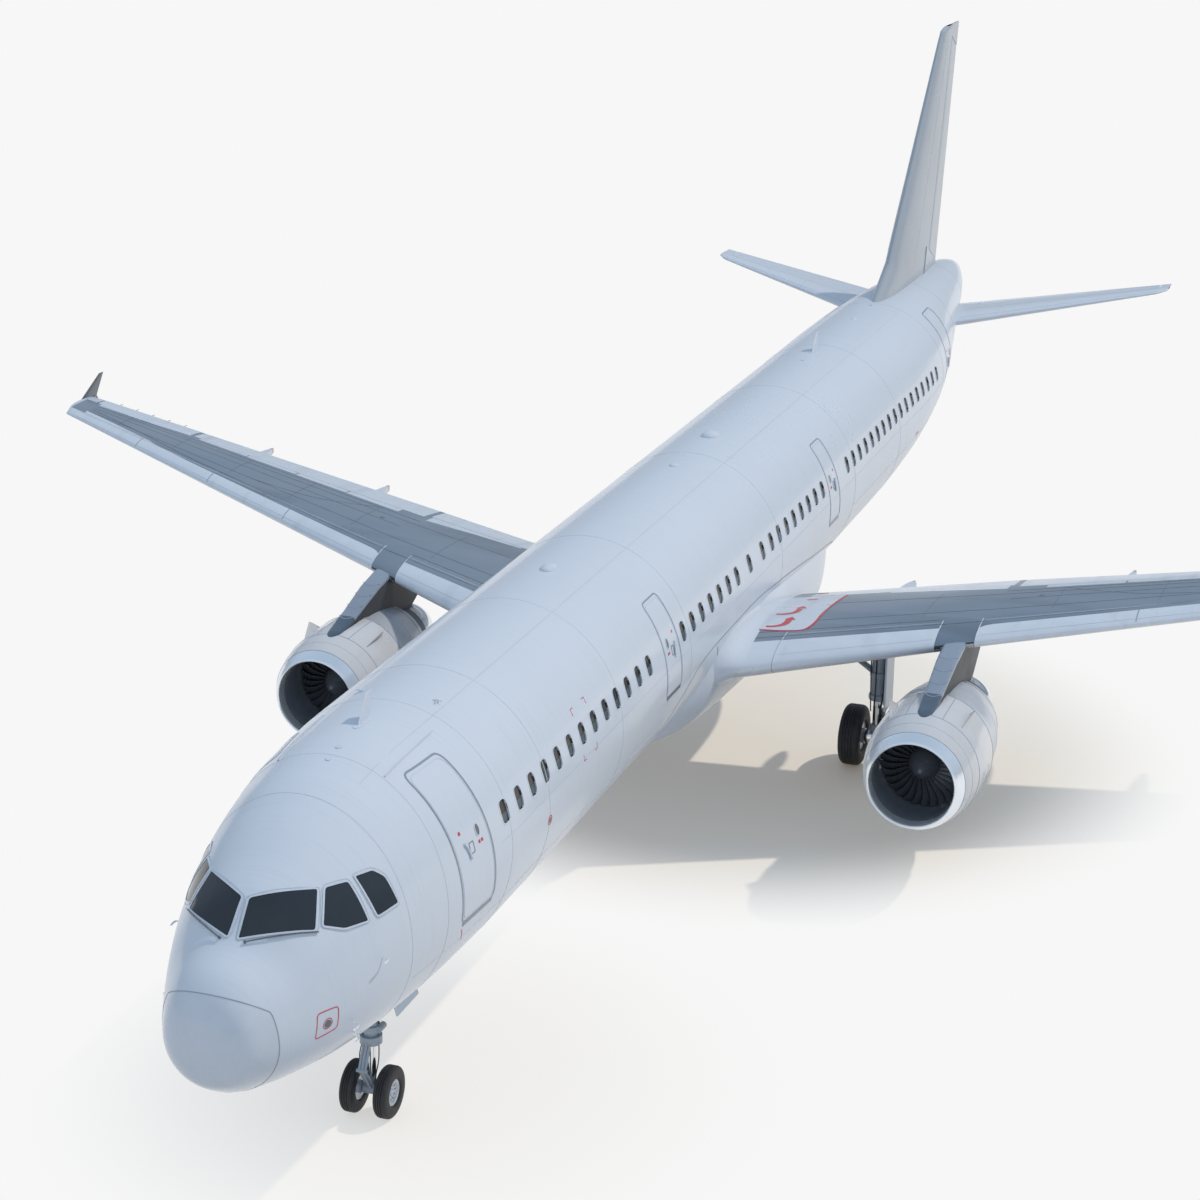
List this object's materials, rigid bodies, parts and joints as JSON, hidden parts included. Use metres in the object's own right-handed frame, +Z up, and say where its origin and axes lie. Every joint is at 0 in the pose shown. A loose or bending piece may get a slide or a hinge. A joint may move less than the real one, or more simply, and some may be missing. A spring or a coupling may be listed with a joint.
{
  "type": "half-size model of a twin-engine passenger airliner",
  "caption": "Half-size model of a twin-engine passenger airliner on its landing gear, with turning wheels and fans, steered nose gear, moving rudder, elevators and ailerons, and cargo doors.",
  "frame": {"origin": "centre of the outline's box, on the ground the tyres stand on", "axes": "-Y towards the nose, +X to port (the aircraft's left), +Z up"},
  "size_m": [16.8314, 22.255, 6.27],
  "materials": {
    "white_paint": "gloss",
    "wing_grey": "satin",
    "light_grey": "satin",
    "dark_grey": "satin",
    "nozzle_grey": "satin",
    "dark_glass": "dark tinted, gloss",
    "bright_metal": "polished",
    "nozzle_metal": "polished",
    "fan_dark": "satin",
    "gear_paint": "satin",
    "tyre_black": "matt"
  },
  "bodies": {
    "airframe": {"belly_fairing": "white_paint", "cockpit_glazing": "dark_glass", "fin": "white_paint", "fuselage": "white_paint", "left_engine_core": "nozzle_metal", "left_fan_cowl": "light_grey", "left_fan_nozzle": "nozzle_grey", "left_inboard_flap": "light_grey", "left_inboard_slat": "light_grey", "left_intake_lip": "bright_metal", "left_leg_door": "white_paint", "left_main_leg": "gear_paint", "left_oleo": "bright_metal", "left_outboard_flap": "light_grey", "left_outboard_slat": "light_grey", "left_pylon": "light_grey", "left_side_stay": "gear_paint", "left_stabilizer": "white_paint", "left_wing": "wing_grey", "left_wingtip_fence": "dark_grey", "nose_leg": "gear_paint", "radome": "white_paint", "right_engine_core": "nozzle_metal", "right_fan_cowl": "light_grey", "right_fan_nozzle": "nozzle_grey", "right_inboard_flap": "light_grey", "right_inboard_slat": "light_grey", "right_intake_lip": "bright_metal", "right_leg_door": "white_paint", "right_main_leg": "gear_paint", "right_oleo": "bright_metal", "right_outboard_flap": "light_grey", "right_outboard_slat": "light_grey", "right_pylon": "light_grey", "right_side_stay": "gear_paint", "right_stabilizer": "white_paint", "right_wing": "wing_grey", "right_wingtip_fence": "dark_grey", "tail_cone": "white_paint"},
    "nose_steering": {"nose_fork": "bright_metal"},
    "nose_wheels": {"nose_hubs": "light_grey", "nose_left_tyre": "tyre_black", "nose_right_tyre": "tyre_black"},
    "left_main_wheels": {"left_main_hubs": "light_grey", "left_main_left_tyre": "tyre_black", "left_main_right_tyre": "tyre_black"},
    "right_main_wheels": {"right_main_hubs": "light_grey", "right_main_left_tyre": "tyre_black", "right_main_right_tyre": "tyre_black"},
    "left_fan_rotor": {"left_fan": "fan_dark"},
    "right_fan_rotor": {"right_fan": "fan_dark"},
    "rudder_surface": {"rudder": "white_paint"},
    "left_elevator_surface": {"left_elevator": "white_paint"},
    "right_elevator_surface": {"right_elevator": "white_paint"},
    "left_aileron_surface": {"left_aileron": "light_grey"},
    "right_aileron_surface": {"right_aileron": "light_grey"},
    "forward_cargo_door_panel": {"forward_cargo_door": "white_paint"},
    "aft_cargo_door_panel": {"aft_cargo_door": "white_paint"}
  },
  "joints": [
    {"name": "nose_steer", "type": "hinge", "parent": "airframe", "child": "nose_steering", "pos_m": [0, -8.534, 0.206], "axis": [0, 0, 1], "range_deg": [-75, 75]},
    {"name": "nose_wheels_spin", "type": "hinge", "parent": "nose_steering", "child": "nose_wheels", "pos_m": [0, -8.534, 0.206], "axis": [1, 0, 0], "continuous": true},
    {"name": "left_main_wheels_spin", "type": "hinge", "parent": "airframe", "child": "left_main_wheels", "pos_m": [1.93, -0.415, 0.314], "axis": [1, 0, 0], "continuous": true},
    {"name": "left_fan_spin", "type": "hinge", "parent": "airframe", "child": "left_fan_rotor", "pos_m": [2.9455, -2.8525, 1.108], "axis": [0, 1, 0], "continuous": true},
    {"name": "right_main_wheels_spin", "type": "hinge", "parent": "airframe", "child": "right_main_wheels", "pos_m": [-1.93, -0.415, 0.314], "axis": [1, 0, 0], "continuous": true},
    {"name": "right_fan_spin", "type": "hinge", "parent": "airframe", "child": "right_fan_rotor", "pos_m": [-2.9455, -2.8525, 1.108], "axis": [0, 1, 0], "continuous": true},
    {"name": "rudder_turn", "type": "hinge", "parent": "airframe", "child": "rudder_surface", "pos_m": [0, 9.37567, 3.41], "axis": [0, 0.3505, 0.9365], "range_deg": [-30, 30]},
    {"name": "left_elevator_turn", "type": "hinge", "parent": "airframe", "child": "left_elevator_surface", "pos_m": [0.725, 9.7718, 2.59389], "axis": [0.9351, 0.3341, 0.1181], "range_deg": [-17, 30]},
    {"name": "right_elevator_turn", "type": "hinge", "parent": "airframe", "child": "right_elevator_surface", "pos_m": [-0.725, 9.7718, 2.59389], "axis": [0.9351, -0.3341, -0.1181], "range_deg": [-17, 30]},
    {"name": "left_aileron_turn", "type": "hinge", "parent": "airframe", "child": "left_aileron_surface", "pos_m": [6.65, 1.09689, 2.22081], "axis": [0.9445, 0.318, 0.0826], "range_deg": [-25, 25]},
    {"name": "right_aileron_turn", "type": "hinge", "parent": "airframe", "child": "right_aileron_surface", "pos_m": [-6.65, 1.09689, 2.22081], "axis": [0.9445, -0.318, -0.0826], "range_deg": [-25, 25]},
    {"name": "forward_cargo_door_hinge", "type": "hinge", "parent": "airframe", "child": "forward_cargo_door_panel", "pos_m": [-0.94688, -6.5725, 1.8671], "axis": [0, 1, 0], "range_deg": [0, 110]},
    {"name": "aft_cargo_door_hinge", "type": "hinge", "parent": "airframe", "child": "aft_cargo_door_panel", "pos_m": [-0.94688, 3.4225, 1.8671], "axis": [0, 1, 0], "range_deg": [0, 110]}
  ],
  "couplings": [
    {"joint": "right_elevator_turn", "follows": "left_elevator_turn", "ratio": 1},
    {"joint": "right_aileron_turn", "follows": "left_aileron_turn", "ratio": -1}
  ]
}
